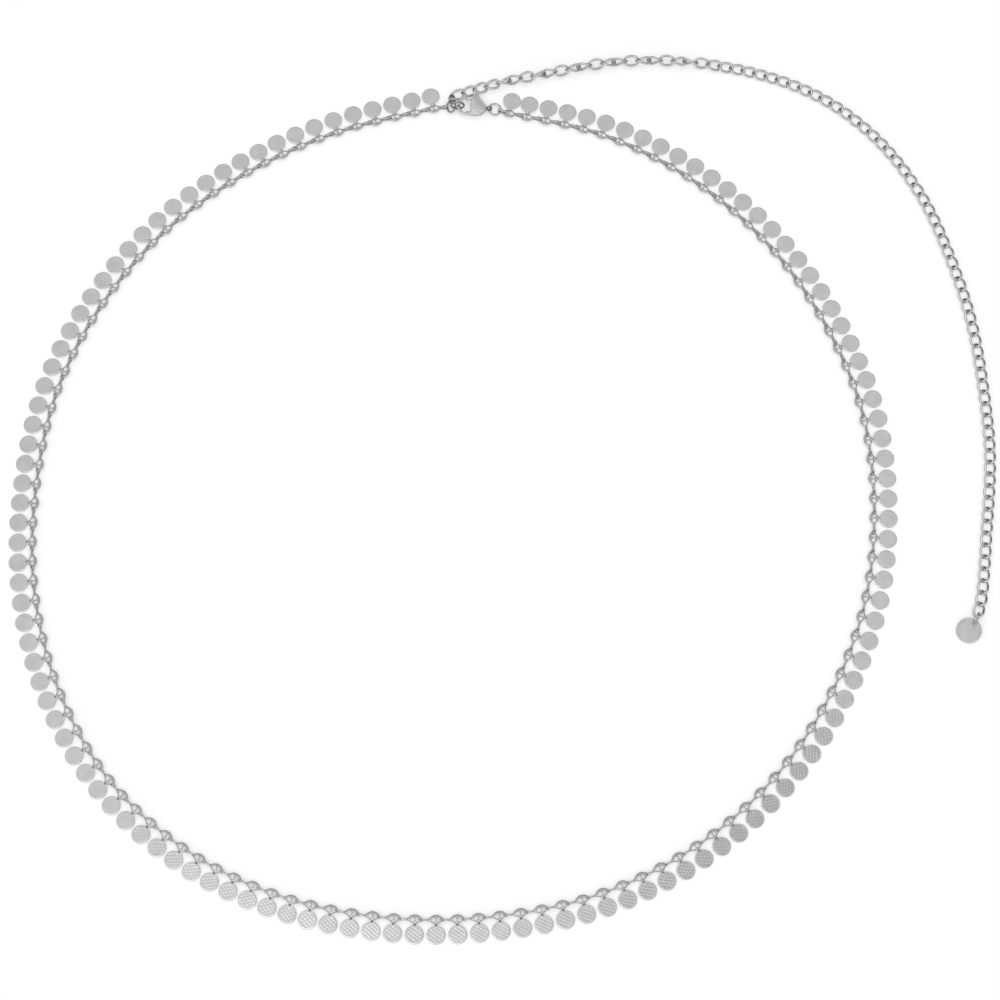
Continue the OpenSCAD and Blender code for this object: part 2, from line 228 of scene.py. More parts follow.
def curb_lift(i):
    """Height of a curb link's middle."""
    rise = lookup(i, CURB_RISES) * (curb_reach(90) - curb_reach(0))
    return curb_reach(0) + rise + LAST_CURB_RISE * max(0.0, i - curb_steps + LAST_CURB_STEPS) / LAST_CURB_STEPS


def turn(x=0.0, y=0.0, z=0.0):
    """Turns about X, then Y, then Z, in degrees."""
    return (
        Matrix.Rotation(math.radians(z), 4, "Z")
        @ Matrix.Rotation(math.radians(y), 4, "Y")
        @ Matrix.Rotation(math.radians(x), 4, "X")
    )


def place(xy, z):
    """Moves to a point given in the routes' own frame."""
    return Matrix.Translation((xy[0] + to_origin[0], xy[1] + to_origin[1], z))


# ---- Shapes ----
class Shape:
    """Points, the faces between them, and for each point how deep it lies in a recess, from 0 to 1, which sets how
    much shade is painted on it.
    """

    def __init__(self, verts=(), faces=(), shade=None):
        self.verts = np.array(verts, float).reshape(-1, 3)
        self.faces = [tuple(f) for f in faces]
        self.shade = np.zeros(len(self.verts)) if shade is None else np.array(shade, float)

    def moved(self, m):
        a = np.array(m)
        return Shape(self.verts @ a[:3, :3].T + a[:3, 3], self.faces, self.shade)

    def plus(self, *others):
        verts, faces, shade, n = [self.verts], list(self.faces), [self.shade], len(self.verts)
        for o in others:
            verts.append(o.verts)
            shade.append(o.shade)
            faces += [tuple(k + n for k in f) for f in o.faces]
            n += len(o.verts)
        return Shape(np.vstack(verts), faces, np.concatenate(shade))


def join(shapes):
    return shapes[0].plus(*shapes[1:])


def bar_outline(length, width, arc=8):
    """Flat bar with round ends, along X."""
    pts = []
    for side, start in ((1, -90), (-1, 90)):
        for k in range(arc + 1):
            a = start + 180 * k / arc
            pts.append((side * (length - width) / 2 + width / 2 * cosd(a), width / 2 * sind(a)))
    return pts


def circle_outline(x, y, d, n=20):
    return [(x + d / 2 * cosd(360 * k / n), y + d / 2 * sind(360 * k / n)) for k in range(n)]


def arc_points(cx, cy, r, a0, a1, n):
    return [(cx + r * cosd(a), cy + r * sind(a)) for a in np.linspace(a0, a1, n)]


def mirrored(points):
    """The points of an outline's right side as its left side."""
    return [(-x, y) for x, y in reversed(points)]


def rounded(points, rounds=2, cut=0.22):
    """Rounds the corners of an outline."""
    for _ in range(rounds):
        out = []
        for k, p in enumerate(points):
            q = points[(k + 1) % len(points)]
            out.append((p[0] + cut * (q[0] - p[0]), p[1] + cut * (q[1] - p[1])))
            out.append((q[0] + cut * (p[0] - q[0]), q[1] + cut * (p[1] - q[1])))
        points = out
    return points


# Points of an extrusion that are closer than this become one
MERGE_DIST = 1e-4


def extruded(loops, thickness, edge, rounds=1):
    """Outline with holes, given a thickness and rounded edges. It lies flat with its middle at z = 0."""
    curve = bpy.data.curves.new("outline", "CURVE")
    curve.dimensions = "2D"
    curve.fill_mode = "BOTH"
    curve.extrude = thickness / 2 - edge
    curve.bevel_depth = edge
    curve.bevel_resolution = rounds
    curve.offset = -edge
    for loop in loops:
        spline = curve.splines.new("POLY")
        spline.points.add(len(loop) - 1)
        spline.points.foreach_set("co", [c for x, y in loop for c in (x, y, 0.0, 1.0)])
        spline.use_cyclic_u = True
    holder = bpy.data.objects.new("outline", curve)
    mesh = bpy.data.meshes.new_from_object(holder)
    bm = bmesh.new()
    bm.from_mesh(mesh)
    bmesh.ops.remove_doubles(bm, verts=bm.verts, dist=MERGE_DIST)
    bmesh.ops.recalc_face_normals(bm, faces=bm.faces)
    bm.verts.ensure_lookup_table()
    shape = Shape([v.co[:] for v in bm.verts], [[v.index for v in f.verts] for f in bm.faces])
    bm.free()
    bpy.data.objects.remove(holder)
    bpy.data.curves.remove(curve)
    bpy.data.meshes.remove(mesh)
    return shape


def wire_point(half_l, half_w, twist, a):
    return Vector((half_l * cosd(a), half_w * sind(a), twist * sind(2 * a)))


def closed_wire(half_l, half_w, twist, wire, steps=36, sides=12):
    """Closed round wire, with its sides twisted up and down as in part.scad."""
    verts, faces = [], []
    for i in range(steps):
        a = i * 360 / steps
        middle = wire_point(half_l, half_w, twist, a)
        before, after = (wire_point(half_l, half_w, twist, a + k) for k in (-2, 2))
        tangent = (after - before).normalized()
        across = tangent.cross(Vector((0, 0, 1))).normalized()
        up = across.cross(tangent)
        for j in range(sides):
            b = j * 360 / sides
            verts.append(middle + wire / 2 * (cosd(b) * across + sind(b) * up))
    for i in range(steps):
        for j in range(sides):
            k, n = (i + 1) % steps, (j + 1) % sides
            faces.append((i * sides + j, i * sides + n, k * sides + n, k * sides + j))
    return Shape(verts, faces)


# The rings' wire is drawn a little thicker than it is in part.scad
RING_WIRE_SEEN, RING_STEPS, RING_SIDES = 0.58, 56, 16


def wire_ring(length, width):
    return closed_wire(length / 2, width / 2, 0.0, RING_WIRE_SEEN, RING_STEPS, RING_SIDES)


# What delaunay_2d_cdt gives back, and how close its points may be: all triangles, on the disc, on the plate
ALL_TRIANGLES, DISC_EPS, PLATE_EPS = 0, 1e-6, 1e-5


# Waffle of the discs: two sets of V-grooves that cross, and a rolled rim
WAFFLE_PITCH, WAFFLE_ANGLE = 0.85, 35.0
GROOVE_DEPTHS = (0.052, 0.046)
# Rows of the rim: how far in from the edge, and how far below the top
RIM_ROWS = ((0.34, 0.03), (0.22, 0.034), (0.12, 0.05), (0.05, 0.08), (0.015, 0.12), (0.0, 0.17))
RIM_STEPS, RIM_CLEAR = 60, 0.07
# Lines along a groove: how far across the pitch, and the share of the groove's depth
GROOVE_LINES = ((0.0, 1.0), (0.15, 0.78), (0.5, 0.0), (0.85, 0.78))


def waffle_disc(shift):
    """Round disc with a waffled face on both sides. shift moves the waffle over the disc, in pitches."""
    radius, inner = DISC_D / 2, DISC_D / 2 - RIM_ROWS[0][0]
    # Directions across the two sets of grooves. back turns two distances across them into a point.
    n1 = np.array([-sind(-WAFFLE_ANGLE), cosd(-WAFFLE_ANGLE)])
    n2 = np.array([-sind(WAFFLE_ANGLE), cosd(WAFFLE_ANGLE)])
    back = np.linalg.inv(np.array([n1, n2]))
    reach = int(radius / WAFFLE_PITCH) + 2
    lines = [(k + f, g) for k in range(-reach, reach) for f, g in GROOVE_LINES]
    pts, heights, at = [], [], {}
    for i, (u, gu) in enumerate(lines):
        for j, (v, gv) in enumerate(lines):
            p = back @ (np.array([u + shift[0], v + shift[1]]) * WAFFLE_PITCH)
            if np.hypot(*p) < inner - RIM_CLEAR:
                at[i, j] = len(pts)
                pts.append(p)
                heights.append(max(gu * GROOVE_DEPTHS[0], gv * GROOVE_DEPTHS[1]))
    edges = []
    for (i, j), k in at.items():
        for other in ((i + 1, j), (i, j + 1)):
            if other in at:
                edges.append((k, at[other]))
    first = len(pts)
    for k in range(RIM_STEPS):
        pts.append(inner * np.array([cosd(360 * k / RIM_STEPS), sind(360 * k / RIM_STEPS)]))
        heights.append(RIM_ROWS[0][1])
        edges.append((first + k, first + (k + 1) % RIM_STEPS))
    out = delaunay_2d_cdt([Vector(p) for p in pts], edges, [], ALL_TRIANGLES, DISC_EPS)
    flat, tris, source = out[0], out[2], out[3]
    depth = np.array([heights[s[0]] if s else 0.0 for s in source])
    top = [(p[0], p[1], DISC_T / 2 - g) for p, g in zip(flat, depth)]
    n = len(top)
    ring = [None] * RIM_STEPS
    for k, s in enumerate(source):
        for q in s:
            if q >= first:
                ring[q - first] = k
    verts = top + [(x, y, -z) for x, y, z in top]
    faces = [tuple(t) for t in tris] + [tuple(k + n for k in reversed(t)) for t in tris]
    # Painted shade: the deeper a point lies in a groove, the darker the steel is painted there
    shade = list(np.clip(depth / GROOVE_DEPTHS[0], 0, 1)) * 2
    rows = [ring]
    rims = [(radius - inset, DISC_T / 2 - drop) for inset, drop in RIM_ROWS[1:]]
    rims += [(r, -z) for r, z in reversed(rims)]
    for r, z in rims:
        rows.append(list(range(len(verts), len(verts) + RIM_STEPS)))
        verts += [(r * cosd(360 * k / RIM_STEPS), r * sind(360 * k / RIM_STEPS), z) for k in range(RIM_STEPS)]
        shade += [0.0] * RIM_STEPS
    rows.append([k + n for k in ring])
    for a, b in zip(rows, rows[1:]):
        for k in range(RIM_STEPS):
            m = (k + 1) % RIM_STEPS
            faces.append((a[k], b[k], b[m], a[m]))
    return Shape(verts, faces, shade)


COLLAR_SIDE = [(0.95, -1.9), (1.2, -2.25), (0.86, -2.45), (0.65, -2.6), (0.52, -2.8), (0.55, -3.1)]
COLLAR_T, COLLAR_EDGE = 0.36, 0.08


def collar():
    """Fillet from the neck to the disc, in the frame of the disc."""
    return extruded([COLLAR_SIDE + mirrored(COLLAR_SIDE)], COLLAR_T, COLLAR_EDGE)


# Eye plate: a lens with tapering tips, a pillowed face, raised rims round the eyes and a folded neck
TIP_X, TIP_HALF, TAPER_X = 2.45, 0.2, 1.75
PLATE_EDGE, EYE_EDGE, EYE_RIM, EYE_SEEN = 0.34, 0.1, 0.04, 1.12
NECK_TOP, FOLD_FROM, FOLD_TO, FOLD_SLOPE = 2.2, 0.95, 1.45, 0.66
# An eye's raised rim is highest at EYE_RIM_AT from the hole and starts at EYE_LEVEL. The fold drops back at
# FOLD_END beyond FOLD_TO.
EYE_RIM_AT, EYE_RIM_WIDTH, EYE_LEVEL, LEAST_HALF_T, FOLD_END = 0.15, 0.09, 0.02, 0.02, 0.08
# Points of the plate's mesh: a grid, rings round the eyes, rows along the outline, and none near a line
GRID, EYE_STEPS, EYE_RINGS = 0.23, 18, (0.07, 0.17)
EDGE_ROWS, ROW_SHARE, LINE_CLEAR = (0.05, 0.16), 0.93, 0.03


def plate_outline():
    radius = ((PLATE_W / 2) ** 2 + PLATE_DROP**2) / (2 * PLATE_DROP)
    arc = [(x, radius - PLATE_DROP - math.sqrt(radius**2 - x**2)) for x in np.linspace(TAPER_X, -TAPER_X, 25)]
    half = NECK_W / 2
    right = [
        (half, NECK_TOP), (half, 1.5), (half, PLATE_RISE + 0.2), (half + 0.16, PLATE_RISE + 0.04),
        (0.8, 0.84), (1.2, 0.6), (1.8, 0.31), (TIP_X, TIP_HALF), (TIP_X + 0.12, 0.0), (TIP_X, -TIP_HALF), (2.1, -0.29),
    ]
    return right + arc + mirrored(right)


def near(points, line):
    """Distance from each point to a closed line."""
    a, b = np.array(line), np.roll(np.array(line), -1, axis=0)
    run = b - a
    t = ((points[:, None] - a) * run).sum(-1) / (run**2).sum(-1)
    foot = a + np.clip(t, 0, 1)[..., None] * run
    return np.linalg.norm(points[:, None] - foot, axis=-1).min(1)


def inside(points, line):
    """Whether each point lies within a closed line."""
    hit = np.zeros(len(points), bool)
    for (x0, y0), (x1, y1) in zip(line, line[1:] + line[:1]):
        if y0 != y1:
            crosses = (y0 > points[:, 1]) != (y1 > points[:, 1])
            hit ^= crosses & (points[:, 0] < x0 + (points[:, 1] - y0) * (x1 - x0) / (y1 - y0))
    return hit


def bulge(distance, edge):
    """Height of a rounded edge, from 0 at the edge to 1 further in."""
    return np.sqrt(1 - (1 - np.clip(distance / edge, 0, 1)) ** 2)


def divided(line, step):
    """Closed line with points no further apart than step."""
    out = []
    for a, b in zip(line, line[1:] + line[:1]):
        n = max(1, math.ceil(math.dist(a, b) / step))
        out += [(a[0] + (b[0] - a[0]) * k / n, a[1] + (b[1] - a[1]) * k / n) for k in range(n)]
    return out


def eye_plate():
    """Plate with two eyes and the neck, with its middle at the origin."""
    outline = divided(plate_outline(), GRID)
    eyes = [circle_outline(side * EYE_GAP / 2, 0, EYE_SEEN, EYE_STEPS) for side in (-1, 1)]
    loops = [outline] + eyes
    xs, ys = np.arange(-TIP_X, TIP_X, GRID), np.arange(-PLATE_DROP, NECK_TOP, GRID)
    loose = [(x, y + (k % 2) * GRID / 2) for k, x in enumerate(xs) for y in ys]
    for side in (-1, 1):
        for ring in EYE_RINGS:
            loose += circle_outline(side * EYE_GAP / 2, 0, EYE_SEEN + 2 * ring, EYE_STEPS)
    edge = np.array(outline)
    tangent = np.roll(edge, -1, axis=0) - np.roll(edge, 1, axis=0)
    across = np.c_[tangent[:, 1], -tangent[:, 0]] / np.linalg.norm(tangent, axis=1)[:, None]
    for inset in EDGE_ROWS:
        for sign in (-1, 1):
            shifted = edge + sign * inset * across
            clear = inside(shifted, outline) & (near(shifted, outline) > ROW_SHARE * inset)
            loose += [tuple(p) for p in shifted[clear]]
    loose = np.array(loose)
    keep = inside(loose, outline) & (near(loose, outline) > LINE_CLEAR)
    for eye in eyes:
        keep &= ~inside(loose, eye) & (near(loose, eye) > LINE_CLEAR)
    loose = loose[keep]
    pts = [p for loop in loops for p in loop] + [tuple(p) for p in loose]
    edges, first = [], 0
    for loop in loops:
        edges += [(first + k, first + (k + 1) % len(loop)) for k in range(len(loop))]
        first += len(loop)
    out = delaunay_2d_cdt([Vector(p) for p in pts], edges, [], ALL_TRIANGLES, PLATE_EPS)
    flat, tris = np.array([p[:] for p in out[0]]), np.array(out[2])
    middle = flat[tris].mean(1)
    keep = inside(middle, outline)
    for eye in eyes:
        keep &= ~inside(middle, eye)
    tris = tris[keep]

    from_eye = np.minimum(near(flat, eyes[0]), near(flat, eyes[1]))
    z = PLATE_T / 2 * bulge(near(flat, outline), PLATE_EDGE) * bulge(from_eye, EYE_EDGE)
    rim = EYE_RIM * np.exp(-(((from_eye - EYE_RIM_AT) / EYE_RIM_WIDTH) ** 2)) * (from_eye > EYE_LEVEL)
    z = np.maximum(z + rim, LEAST_HALF_T)
    fold = np.clip(flat[:, 1] - FOLD_FROM, 0, FOLD_TO - FOLD_FROM) * (flat[:, 1] < FOLD_TO + FOLD_END)
    top = np.c_[flat, z + FOLD_SLOPE * fold]
    bottom = np.c_[flat, -z + FOLD_SLOPE * fold]
    n = len(flat)
    faces = [tuple(t) for t in tris] + [tuple(k + n for k in reversed(t)) for t in tris]
    open_edges = {}
    for t in tris:
        for a, b in ((t[0], t[1]), (t[1], t[2]), (t[2], t[0])):
            if (b, a) in open_edges:
                del open_edges[b, a]
            else:
                open_edges[a, b] = True
    faces += [(b, a, a + n, b + n) for a, b in open_edges]
    return Shape(np.vstack([top, bottom]), faces)


# Strap: two bands, one above the other, with an eyelet towards the next link, and a post at each end
BAND_HALF, BAND_EDGE, POST_EDGE = 0.22, 0.14, 0.05
EYELET_L, EYELET_HALF, EYELET_BACK = 1.55, 0.46, 0.4
EYELET_HOLE, EYELET_HOLE_AT, EYELET_STEPS = (0.62, 0.5), 0.78, 14


def strap(a, b, eyelet=True):
    """Folded strap that stands on edge, from x = a to x = b."""
    if eyelet:
        b -= EYELET_BACK
        turn_in = b - EYELET_L
        half = [
            (a, 0.16), (a + 0.12, BAND_HALF), (turn_in - 0.3, BAND_HALF), (turn_in + 0.25, EYELET_HALF * 0.86),
            (turn_in + 0.6, EYELET_HALF), (b - 0.45, EYELET_HALF * 0.95), (b - 0.12, 0.36), (b, 0.18),
        ]
        hole = circle_outline(0, 0, 1, EYELET_STEPS)
        hole = [(turn_in + EYELET_HOLE_AT + x * EYELET_HOLE[0], y * EYELET_HOLE[1]) for x, y in hole]
        loops = [[(x, -y) for x, y in half] + half[::-1], hole]
    else:
        loops = [[(x + (a + b) / 2, y) for x, y in bar_outline(b - a, STRAP_W)]]
    band = extruded(loops, STRAP_T, BAND_EDGE)
    post = extruded([bar_outline(STRAP_W, STRAP_T, arc=4)], STRAP_H - STRAP_T, POST_EDGE, rounds=0).moved(turn(z=90))
    z = (STRAP_H - STRAP_T) / 2
    posts = [post.moved(Matrix.Translation((x, 0, 0))) for x in (a + STRAP_T / 2, b - STRAP_T / 2)]
    return band.moved(Matrix.Translation((0, 0, z))).plus(band.moved(Matrix.Translation((0, 0, -z))), *posts)


# ---- Materials ----
# Scales of the noise are per mm. Noise from NOISE_LOW to NOISE_HIGH takes a value over its whole range
STAIN_SCALE, STAIN_DETAIL, STAIN_SHADE = 0.35, 3.0, 0.9
GRAIN_DETAIL, GRAIN_DEPTH = 5.0, 0.02
NOISE_LOW, NOISE_HIGH = 0.3, 0.7
# Colour sockets of a Mix node
MIX_A, MIX_B, MIX_RESULT = 6, 7, 2


def steel(name, base, rough, rough_spread, grain, bump, groove_shade_grey=0.5, streak=(1.0, 1.0, 1.0)):
    """Steel with soft stains and a fine grain. Its colour is painted darker, down to the grey given, as far as the
    mesh's groove shade says: painted shade in the grooves.
    """
    m = bpy.data.materials.new(name)
    m.use_nodes = True
    nodes, links = m.node_tree.nodes, m.node_tree.links
    shader = nodes["Principled BSDF"]
    shader.inputs["Metallic"].default_value = 1.0

    coords = nodes.new("ShaderNodeTexCoord")
    scale = nodes.new("ShaderNodeMapping")
    scale.inputs["Scale"].default_value = tuple(k / MM for k in streak)
    links.new(coords.outputs["Object"], scale.inputs["Vector"])

    def noise(waves, detail):
        node = nodes.new("ShaderNodeTexNoise")
        node.inputs["Scale"].default_value = waves
        node.inputs["Detail"].default_value = detail
        links.new(scale.outputs["Vector"], node.inputs["Vector"])
        return node.outputs["Fac"]

    stain, fine = noise(STAIN_SCALE, STAIN_DETAIL), noise(grain, GRAIN_DETAIL)

    tone = nodes.new("ShaderNodeValToRGB")
    tone.color_ramp.elements[0].position = NOISE_LOW
    tone.color_ramp.elements[0].color = (*(c * STAIN_SHADE for c in base), 1)
    tone.color_ramp.elements[1].position = NOISE_HIGH
    tone.color_ramp.elements[1].color = (*base, 1)
    links.new(stain, tone.inputs["Fac"])
    # Painted shade: the colour is darkened where the mesh's points lie deep in a groove
    groove_shade = nodes.new("ShaderNodeAttribute")
    groove_shade.attribute_name = "groove_shade"
    paint_groove_shade = nodes.new("ShaderNodeMix")
    paint_groove_shade.data_type = "RGBA"
    paint_groove_shade.blend_type = "MULTIPLY"
    paint_groove_shade.inputs[MIX_B].default_value = (groove_shade_grey, groove_shade_grey, groove_shade_grey, 1)
    links.new(groove_shade.outputs["Fac"], paint_groove_shade.inputs["Factor"])
    links.new(tone.outputs["Color"], paint_groove_shade.inputs[MIX_A])
    links.new(paint_groove_shade.outputs[MIX_RESULT], shader.inputs["Base Color"])

    spread = nodes.new("ShaderNodeMapRange")
    spread.inputs["From Min"].default_value = NOISE_LOW
    spread.inputs["From Max"].default_value = NOISE_HIGH
    spread.inputs["To Min"].default_value = rough - rough_spread
    spread.inputs["To Max"].default_value = rough + rough_spread
    links.new(fine, spread.inputs["Value"])
    links.new(spread.outputs["Result"], shader.inputs["Roughness"])

    relief = nodes.new("ShaderNodeBump")
    relief.inputs["Strength"].default_value = bump
    relief.inputs["Distance"].default_value = GRAIN_DEPTH * MM
    links.new(fine, relief.inputs["Height"])
    links.new(relief.outputs["Normal"], shader.inputs["Normal"])
    return m


# The discs' steel is painted darker deep in the grooves: painted shade
DISC_STEEL = steel("disc_steel", (0.545, 0.548, 0.55), 0.14, 0.03, 9.0, 0.1, groove_shade_grey=0.94)
LINK_STEEL = steel("link_steel", (0.42, 0.42, 0.43), 0.17, 0.05, 7.0, 0.25)
WIRE_STEEL = steel("wire_steel", (0.53, 0.53, 0.54), 0.15, 0.05, 7.0, 0.25)
CURB_STEEL = steel("curb_steel", (0.56, 0.56, 0.57), 0.15, 0.05, 7.0, 0.25)
CLASP_STEEL = steel("clasp_steel", (0.53, 0.53, 0.54), 0.18, 0.05, 6.0, 0.3)
# Near-white steel for the clasp's stud: a painted highlight
STUD_HIGHLIGHT_STEEL = steel("stud_painted_highlight", (0.9, 0.9, 0.9), 0.12, 0.03, 7.0, 0.1)
# Darker copy of the ring steel, for the rings crowded at the clasp and for the swivel: painted shade
RING_SHADE_STEEL = steel("painted_shade_steel", (0.33, 0.33, 0.34), 0.12, 0.04, 7.0, 0.2)
TAG_STEEL = steel("tag_steel", (0.465, 0.465, 0.475), 0.3, 0.02, 8.0, 0.05, streak=(1.0, 0.2, 1.0))


def piece(name, shape, material, body, slot, *nodes_replaced, sharp=35.0, flat_over=None):
    """Makes one piece, hangs it on the empty of its body and hides the model's nodes that it replaces. Faces larger
    than flat_over mm2 are flat.
    """
    mesh = bpy.data.meshes.new(name)
    mesh.from_pydata((shape.verts * MM).tolist(), [], shape.faces)
    # How deep each point lies in a groove, which paints shade on the steel
    groove_shade = mesh.attributes.new("groove_shade", "FLOAT", "POINT")
    groove_shade.data.foreach_set("value", shape.shade.astype(np.float32))
    mesh.materials.append(material)
    mesh.validate()
    mesh.shade_smooth()
    mesh.set_sharp_from_angle(angle=math.radians(sharp))
    if flat_over:
        for face in mesh.polygons:
            face.use_smooth = face.area < flat_over * MM**2
    obj = bpy.data.objects.new(name, mesh)
    bpy.context.scene.collection.objects.link(obj)
    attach(obj, body)
    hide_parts(*nodes_replaced)


# ---- Disc links ----
# Each disc is one of a few kinds, by where the waffle lies on it, and sways by up to SWAY degrees
DISC_KINDS, WAFFLE_SHIFT, SWAY = 8, 0.5, 0.4
plate, neck_fillet = eye_plate(), collar()
disc_kinds = [
    waffle_disc((rng.uniform(-WAFFLE_SHIFT, WAFFLE_SHIFT), rng.uniform(-WAFFLE_SHIFT, WAFFLE_SHIFT)))
    for _ in range(DISC_KINDS)
]
halves = {"right": range(0, LINK_COUNT // 2), "left": range(LINK_COUNT // 2, LINK_COUNT)}
for half, links_of_half in halves.items():
    discs, plates = [], []
    for i in links_of_half:
        stand = place(link_at(i), link_z) @ turn(z=link_heading(i)) @ turn(x=-link_lean)
        sway = turn(x=rng.uniform(-SWAY, SWAY), y=rng.uniform(-SWAY, SWAY))
        hang = stand @ Matrix.Translation((0, DISC_HANG, 0))
        discs += [disc_kinds[rng.randrange(DISC_KINDS)].moved(hang @ sway), neck_fillet.moved(hang)]
        plates.append(plate.moved(stand))
        strap_turn = heading(link_at(i), strap_goal(i)) - link_heading(i)
        plates.append(strap(PLATE_W / 2 - STRAP_T / 2, strap_to(i)).moved(stand @ turn(z=strap_turn)))
    piece("discs_" + half, join(discs), DISC_STEEL, "chain", "disc_steel", "disc_chain_" + half, sharp=14.0)
    piece("eye_plates_" + half, join(plates), LINK_STEEL, "chain", "wire_steel", "disc_chain_" + half)

# ---- Start strap and rings ----
first_heading = link_heading(0)
first_eye = link_at(0) - EYE_GAP / 2 * np.array([cosd(first_heading), sind(first_heading)])
first_reach = float(np.linalg.norm(first_eye - np.array(CLASP_RING_AT)))
start = strap(CLASP_RING_D / 2 - RING_WIRE / 2 - 2 * GAP - STRAP_T, first_reach + STRAP_T / 2, eyelet=False)
start = start.moved(place(CLASP_RING_AT, link_z) @ turn(z=heading(CLASP_RING_AT, first_eye)))
piece("start_strap_piece", start, LINK_STEEL, "chain", "wire_steel", "start_strap")

wire_z = STRAP_T + GAP + RING_WIRE / 2
ring = wire_ring(CLASP_RING_D, CLASP_RING_D).moved(
    place(CLASP_RING_AT, wire_z + CLASP_RING_D / 2 * sind(CLASP_RING_TIP)) @ turn(y=CLASP_RING_TIP)
)
piece("clasp_ring_piece", ring, WIRE_STEEL, "chain", "wire_steel", "clasp_ring")

# The rings crowded by the clasp are drawn in the darker steel: painted shade
HOOK_RING_LIFT = 0.08
hook_ring_z = (HOOK_RING_D * sind(HOOK_RING_TIP) + RING_WIRE) / 2 + HOOK_RING_LIFT
ring = wire_ring(HOOK_RING_D, HOOK_RING_D).moved(place(HOOK_RING_AT, hook_ring_z) @ turn(x=HOOK_RING_TIP))
piece("hook_ring_piece", ring, RING_SHADE_STEEL, "chain", "wire_steel", "hook_ring")

ring = wire_ring(END_RING_L, END_RING_W).moved(
    place(END_RING_AT, END_RING_Z) @ turn(y=END_RING_TIP) @ turn(z=90)
)
piece("end_ring_piece", ring, RING_SHADE_STEEL, "chain", "wire_steel", "end_ring")

ring = wire_ring(EXTENSION_RING_D, EXTENSION_RING_D).moved(
    place(EXTENSION_RING_AT, EXTENSION_RING_Z) @ turn(x=EXTENSION_RING_TIP, z=EXTENSION_RING_TURN)
)
piece("extension_ring_piece", ring, RING_SHADE_STEEL, "chain", "wire_steel", "extension_ring")

# ---- Extension ----
# The curb links' wire is drawn thicker too, and further in, so the links keep about their size
CURB_WIRE_SEEN, CURB_INSET = 0.7, 0.05
curb = closed_wire(curb_half_l - CURB_INSET, curb_half_w - CURB_INSET, CURB_TWIST, CURB_WIRE_SEEN)
curbs = []
for i in range(curb_steps + 1):
    slope = math.degrees(math.atan((curb_lift(i + 1) - curb_lift(i - 1)) / (2 * curb_step)))
    turned = turn(x=lookup(i, CURB_TWISTS), y=-slope, z=extension.heading(i * curb_step, curb_step))
    curbs.append(curb.moved(place(extension.at(i * curb_step), curb_lift(i)) @ turned))
piece("extension_links", join(curbs), CURB_STEEL, "chain", "curb_steel", "extension_chain")

# ---- Clasp ----
clasp_z = BODY_T / 2 * cosd(CLASP_TIP) + (HOOK_OPEN / 2 + HOOK_RIM) * sind(CLASP_TIP)
clasp_frame = place(CLASP_AT, clasp_z) @ turn(z=CLASP_TURN) @ turn(x=CLASP_TIP)
PIVOT, PIN_SHORT, PIN_EDGE, PIN_STEPS = (4.6, -0.5), 0.04, 0.1, 28
# The stud, a painted highlight: where it stands, its width, how far proud of the cheek, its edge and its steps
STUD_AT, STUD_D, STUD_PROUD, STUD_EDGE, STUD_STEPS = (2.75, -1.6), 0.6, 0.05, 0.14, 24
SWIVEL_AT, SWIVEL_D, SWIVEL_T, SWIVEL_EDGE, SWIVEL_STEPS = (6.95, -0.5, -0.26), 1.9, 1.0, 0.3, 36
SWIVEL_HOLE_D, SWIVEL_HOLE_STEPS, SWIVEL_ROOT_THINNER, SWIVEL_ROOT_EDGE = 1.06, 28, 0.1, 0.15
# The mouth's half width, and where the hook's outer and inner lines end at the body, in degrees
MOUTH_X, HOOK_OUTER_END, HOOK_INNER_END, HOOK_EDGE = 0.35, 300, 318, 0.3
BODY_OFF, BODY_EDGE, SLOT_FOOT, WALL_SHORT, WALL_IN = 0.2, 0.2, -1.9, 0.5, 0.6
ARM_W, LEVER_EDGE = 0.55, 0.14
outer_w = HOOK_OPEN_W + 2 * HOOK_WALL
body_left = HOOK_OPEN_W / 2 + BODY_OFF
foot = -HOOK_OPEN / 2 - HOOK_RIM
slot_h = LEVER_T + 2 * LEVER_GAP
cheek_t = (BODY_T - slot_h) / 2

# The hook goes from the mouth at the top, round the left side, to the body
hook_l = HOOK_OPEN + 2 * HOOK_RIM
outer_y = (hook_l - outer_w) / 2
inner_y = (HOOK_OPEN - HOOK_OPEN_W) / 2
top_outer = math.degrees(math.acos(MOUTH_X / (outer_w / 2)))
top_inner = math.degrees(math.acos(MOUTH_X / (HOOK_OPEN_W / 2)))
hook = (
    arc_points(0, outer_y, outer_w / 2, top_outer, 180, 12)
    + arc_points(0, -outer_y, outer_w / 2, 180, HOOK_OUTER_END, 14)
    + arc_points(0, -inner_y, HOOK_OPEN_W / 2, HOOK_INNER_END, 180, 14)
    + arc_points(0, inner_y, HOOK_OPEN_W / 2, 180, top_inner, 12)
)
hook_shape = extruded([hook], HOOK_T, HOOK_EDGE, rounds=3)
body_outline = rounded([
    (body_left, foot), (4.3, foot), (5.9, -1.5), (6.1, -1), (6.1, 0.2), (5.4, 0.9), (3.7, 2.9), (2.5, 2.9),
    (body_left, 1.3),
])
cheek = extruded([body_outline], cheek_t, BODY_EDGE, rounds=3)
wall_left = body_left - WALL_IN
wall_outline = rounded([(wall_left, foot), (4.2, foot), (4.9, SLOT_FOOT), (wall_left, SLOT_FOOT)], 2, 0.15)
wall = extruded([wall_outline], BODY_T - WALL_SHORT, BODY_EDGE, rounds=2)
pin = extruded([circle_outline(*PIVOT, PIN_D, PIN_STEPS)], BODY_T - PIN_SHORT, PIN_EDGE, rounds=2)
cheek_z = (slot_h + cheek_t) / 2
